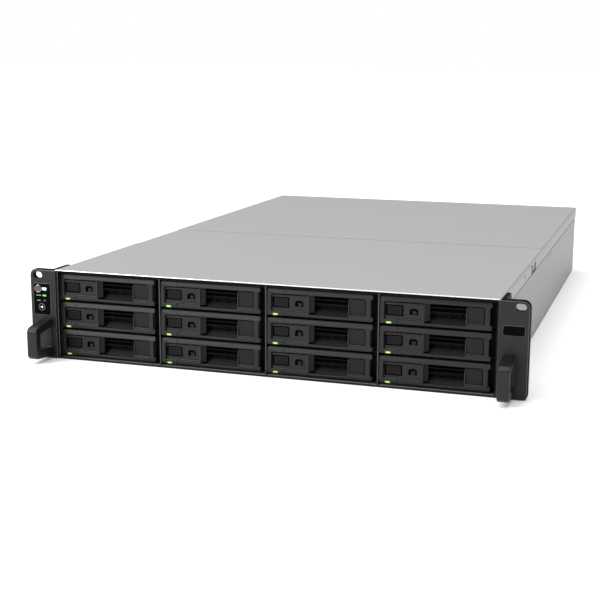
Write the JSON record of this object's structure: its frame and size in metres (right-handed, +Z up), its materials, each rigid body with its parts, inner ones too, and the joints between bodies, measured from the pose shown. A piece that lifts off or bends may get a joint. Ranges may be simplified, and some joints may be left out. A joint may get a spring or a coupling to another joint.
{
  "type": "rack-mounted network storage unit",
  "caption": "Rack network storage unit, 2U: sliding drive trays with pull levers, ears with handles, lift-off fan hatch and pull-out redundant power supplies.",
  "frame": {"origin": "centre of the whole unit's footprint, on its base", "axes": "+Z up, the front with the drive trays faces -Y, +X to the right as seen from the front; +Y is the longest way"},
  "size_m": [0.482, 0.724, 0.088],
  "materials": {
    "base_steel": "satin powder coat",
    "cover_steel": "fine satin powder coat",
    "cage_steel": "zinc-plated sheet",
    "circuit_board": "solder mask",
    "fan_plastic": "moulded",
    "rotor_black": "moulded",
    "ear_black": "fine moulded grain",
    "gloss_black": "polished",
    "power_key": "translucent key with a metal ring",
    "latch_black": "moulded",
    "screw_steel": "nickel plated",
    "release_tab": "moulded",
    "supply_steel": "zinc-plated sheet",
    "tray_plastic": "fine moulded grain",
    "lever_plastic": "fine moulded grain",
    "button_plastic": "fine moulded grain"
  },
  "bodies": {
    "root": {"chassis_base": "base_steel", "front_cover": "cover_steel", "rear_panel": "base_steel", "drive_cage": "cage_steel", "backplane": "circuit_board", "fan_frame": "fan_plastic", "mainboard": "circuit_board", "ear_left": "ear_black", "ear_right": "ear_black", "panel_inserts": "gloss_black"},
    "hatch": {"fan_hatch": "cover_steel"},
    "hatch_latch_left": {"hatch_latch_left": "latch_black"},
    "hatch_latch_right": {"hatch_latch_right": "latch_black"},
    "rear_cover": {"rear_cover": "cover_steel", "cover_screws": "screw_steel"},
    "power_button": {"power_button": "power_key"},
    "mute_button": {"mute_button": "gloss_black"},
    "fan_rotor_1": {"fan_rotor_1": "rotor_black"},
    "fan_rotor_2": {"fan_rotor_2": "rotor_black"},
    "fan_rotor_3": {"fan_rotor_3": "rotor_black"},
    "psu_1": {"psu_1": "supply_steel"},
    "psu_latch_1": {"psu_latch_1": "release_tab"},
    "psu_2": {"psu_2": "supply_steel"},
    "psu_latch_2": {"psu_latch_2": "release_tab"},
    "tray_1": {"tray_1": "tray_plastic"},
    "lever_1": {"lever_1": "lever_plastic"},
    "release_1": {"release_button_1": "button_plastic"},
    "tray_2": {"tray_2": "tray_plastic"},
    "lever_2": {"lever_2": "lever_plastic"},
    "release_2": {"release_button_2": "button_plastic"},
    "tray_3": {"tray_3": "tray_plastic"},
    "lever_3": {"lever_3": "lever_plastic"},
    "release_3": {"release_button_3": "button_plastic"},
    "tray_4": {"tray_4": "tray_plastic"},
    "lever_4": {"lever_4": "lever_plastic"},
    "release_4": {"release_button_4": "button_plastic"},
    "tray_5": {"tray_5": "tray_plastic"},
    "lever_5": {"lever_5": "lever_plastic"},
    "release_5": {"release_button_5": "button_plastic"},
    "tray_6": {"tray_6": "tray_plastic"},
    "lever_6": {"lever_6": "lever_plastic"},
    "release_6": {"release_button_6": "button_plastic"},
    "tray_7": {"tray_7": "tray_plastic"},
    "lever_7": {"lever_7": "lever_plastic"},
    "release_7": {"release_button_7": "button_plastic"},
    "tray_8": {"tray_8": "tray_plastic"},
    "lever_8": {"lever_8": "lever_plastic"},
    "release_8": {"release_button_8": "button_plastic"},
    "tray_9": {"tray_9": "tray_plastic"},
    "lever_9": {"lever_9": "lever_plastic"},
    "release_9": {"release_button_9": "button_plastic"},
    "tray_10": {"tray_10": "tray_plastic"},
    "lever_10": {"lever_10": "lever_plastic"},
    "release_10": {"release_button_10": "button_plastic"},
    "tray_11": {"tray_11": "tray_plastic"},
    "lever_11": {"lever_11": "lever_plastic"},
    "release_11": {"release_button_11": "button_plastic"},
    "tray_12": {"tray_12": "tray_plastic"},
    "lever_12": {"lever_12": "lever_plastic"},
    "release_12": {"release_button_12": "button_plastic"}
  },
  "joints": [
    {"name": "hatch_lift", "type": "slide", "parent": "root", "child": "hatch", "axis": [0, 0, 1], "range_m": [0, 0.12]},
    {"name": "rear_cover_slide", "type": "slide", "parent": "root", "child": "rear_cover", "axis": [0, 1, 0], "range_m": [0, 0.015]},
    {"name": "hatch_latch_left_press", "type": "slide", "parent": "hatch", "child": "hatch_latch_left", "axis": [1, 0, 0], "range_m": [0, 0.002], "stiffness_N_per_m": 400},
    {"name": "hatch_latch_right_press", "type": "slide", "parent": "hatch", "child": "hatch_latch_right", "axis": [-1, 0, 0], "range_m": [0, 0.002], "stiffness_N_per_m": 400},
    {"name": "power_press", "type": "slide", "parent": "root", "child": "power_button", "axis": [0, 1, 0], "range_m": [0, 0.001], "stiffness_N_per_m": 500},
    {"name": "mute_press", "type": "slide", "parent": "root", "child": "mute_button", "axis": [0, 1, 0], "range_m": [0, 0.001], "stiffness_N_per_m": 500},
    {"name": "fan_spin_1", "type": "hinge", "parent": "root", "child": "fan_rotor_1", "pos_m": [-0.135, -0.113, 0.0434], "axis": [0, 1, 0], "continuous": true},
    {"name": "fan_spin_2", "type": "hinge", "parent": "root", "child": "fan_rotor_2", "pos_m": [0, -0.113, 0.0434], "axis": [0, 1, 0], "continuous": true},
    {"name": "fan_spin_3", "type": "hinge", "parent": "root", "child": "fan_rotor_3", "pos_m": [0.135, -0.113, 0.0434], "axis": [0, 1, 0], "continuous": true},
    {"name": "psu_slide_1", "type": "slide", "parent": "root", "child": "psu_1", "axis": [0, 1, 0], "range_m": [0, 0.19]},
    {"name": "psu_latch_press_1", "type": "slide", "parent": "psu_1", "child": "psu_latch_1", "axis": [-1, 0, 0], "range_m": [0, 0.003], "stiffness_N_per_m": 600},
    {"name": "psu_slide_2", "type": "slide", "parent": "root", "child": "psu_2", "axis": [0, 1, 0], "range_m": [0, 0.19]},
    {"name": "psu_latch_press_2", "type": "slide", "parent": "psu_2", "child": "psu_latch_2", "axis": [-1, 0, 0], "range_m": [0, 0.003], "stiffness_N_per_m": 600},
    {"name": "tray_slide_1", "type": "slide", "parent": "root", "child": "tray_1", "axis": [0, -1, 0], "range_m": [0, 0.165]},
    {"name": "lever_swing_1", "type": "hinge", "parent": "tray_1", "child": "lever_1", "pos_m": [-0.1157, -0.319, 0.0705], "axis": [0, 0, 1], "range_deg": [0, 65]},
    {"name": "release_press_1", "type": "slide", "parent": "tray_1", "child": "release_1", "axis": [0, 1, 0], "range_m": [0, 0.0015], "stiffness_N_per_m": 500},
    {"name": "tray_slide_2", "type": "slide", "parent": "root", "child": "tray_2", "axis": [0, -1, 0], "range_m": [0, 0.165]},
    {"name": "lever_swing_2", "type": "hinge", "parent": "tray_2", "child": "lever_2", "pos_m": [-0.0092, -0.319, 0.0705], "axis": [0, 0, 1], "range_deg": [0, 65]},
    {"name": "release_press_2", "type": "slide", "parent": "tray_2", "child": "release_2", "axis": [0, 1, 0], "range_m": [0, 0.0015], "stiffness_N_per_m": 500},
    {"name": "tray_slide_3", "type": "slide", "parent": "root", "child": "tray_3", "axis": [0, -1, 0], "range_m": [0, 0.165]},
    {"name": "lever_swing_3", "type": "hinge", "parent": "tray_3", "child": "lever_3", "pos_m": [0.0973, -0.319, 0.0705], "axis": [0, 0, 1], "range_deg": [0, 65]},
    {"name": "release_press_3", "type": "slide", "parent": "tray_3", "child": "release_3", "axis": [0, 1, 0], "range_m": [0, 0.0015], "stiffness_N_per_m": 500},
    {"name": "tray_slide_4", "type": "slide", "parent": "root", "child": "tray_4", "axis": [0, -1, 0], "range_m": [0, 0.165]},
    {"name": "lever_swing_4", "type": "hinge", "parent": "tray_4", "child": "lever_4", "pos_m": [0.2038, -0.319, 0.0705], "axis": [0, 0, 1], "range_deg": [0, 65]},
    {"name": "release_press_4", "type": "slide", "parent": "tray_4", "child": "release_4", "axis": [0, 1, 0], "range_m": [0, 0.0015], "stiffness_N_per_m": 500},
    {"name": "tray_slide_5", "type": "slide", "parent": "root", "child": "tray_5", "axis": [0, -1, 0], "range_m": [0, 0.165]},
    {"name": "lever_swing_5", "type": "hinge", "parent": "tray_5", "child": "lever_5", "pos_m": [-0.1157, -0.319, 0.0431], "axis": [0, 0, 1], "range_deg": [0, 65]},
    {"name": "release_press_5", "type": "slide", "parent": "tray_5", "child": "release_5", "axis": [0, 1, 0], "range_m": [0, 0.0015], "stiffness_N_per_m": 500},
    {"name": "tray_slide_6", "type": "slide", "parent": "root", "child": "tray_6", "axis": [0, -1, 0], "range_m": [0, 0.165]},
    {"name": "lever_swing_6", "type": "hinge", "parent": "tray_6", "child": "lever_6", "pos_m": [-0.0092, -0.319, 0.0431], "axis": [0, 0, 1], "range_deg": [0, 65]},
    {"name": "release_press_6", "type": "slide", "parent": "tray_6", "child": "release_6", "axis": [0, 1, 0], "range_m": [0, 0.0015], "stiffness_N_per_m": 500},
    {"name": "tray_slide_7", "type": "slide", "parent": "root", "child": "tray_7", "axis": [0, -1, 0], "range_m": [0, 0.165]},
    {"name": "lever_swing_7", "type": "hinge", "parent": "tray_7", "child": "lever_7", "pos_m": [0.0973, -0.319, 0.0431], "axis": [0, 0, 1], "range_deg": [0, 65]},
    {"name": "release_press_7", "type": "slide", "parent": "tray_7", "child": "release_7", "axis": [0, 1, 0], "range_m": [0, 0.0015], "stiffness_N_per_m": 500},
    {"name": "tray_slide_8", "type": "slide", "parent": "root", "child": "tray_8", "axis": [0, -1, 0], "range_m": [0, 0.165]},
    {"name": "lever_swing_8", "type": "hinge", "parent": "tray_8", "child": "lever_8", "pos_m": [0.2038, -0.319, 0.0431], "axis": [0, 0, 1], "range_deg": [0, 65]},
    {"name": "release_press_8", "type": "slide", "parent": "tray_8", "child": "release_8", "axis": [0, 1, 0], "range_m": [0, 0.0015], "stiffness_N_per_m": 500},
    {"name": "tray_slide_9", "type": "slide", "parent": "root", "child": "tray_9", "axis": [0, -1, 0], "range_m": [0, 0.165]},
    {"name": "lever_swing_9", "type": "hinge", "parent": "tray_9", "child": "lever_9", "pos_m": [-0.1157, -0.319, 0.0157], "axis": [0, 0, 1], "range_deg": [0, 65]},
    {"name": "release_press_9", "type": "slide", "parent": "tray_9", "child": "release_9", "axis": [0, 1, 0], "range_m": [0, 0.0015], "stiffness_N_per_m": 500},
    {"name": "tray_slide_10", "type": "slide", "parent": "root", "child": "tray_10", "axis": [0, -1, 0], "range_m": [0, 0.165]},
    {"name": "lever_swing_10", "type": "hinge", "parent": "tray_10", "child": "lever_10", "pos_m": [-0.0092, -0.319, 0.0157], "axis": [0, 0, 1], "range_deg": [0, 65]},
    {"name": "release_press_10", "type": "slide", "parent": "tray_10", "child": "release_10", "axis": [0, 1, 0], "range_m": [0, 0.0015], "stiffness_N_per_m": 500},
    {"name": "tray_slide_11", "type": "slide", "parent": "root", "child": "tray_11", "axis": [0, -1, 0], "range_m": [0, 0.165]},
    {"name": "lever_swing_11", "type": "hinge", "parent": "tray_11", "child": "lever_11", "pos_m": [0.0973, -0.319, 0.0157], "axis": [0, 0, 1], "range_deg": [0, 65]},
    {"name": "release_press_11", "type": "slide", "parent": "tray_11", "child": "release_11", "axis": [0, 1, 0], "range_m": [0, 0.0015], "stiffness_N_per_m": 500},
    {"name": "tray_slide_12", "type": "slide", "parent": "root", "child": "tray_12", "axis": [0, -1, 0], "range_m": [0, 0.165]},
    {"name": "lever_swing_12", "type": "hinge", "parent": "tray_12", "child": "lever_12", "pos_m": [0.2038, -0.319, 0.0157], "axis": [0, 0, 1], "range_deg": [0, 65]},
    {"name": "release_press_12", "type": "slide", "parent": "tray_12", "child": "release_12", "axis": [0, 1, 0], "range_m": [0, 0.0015], "stiffness_N_per_m": 500}
  ]
}
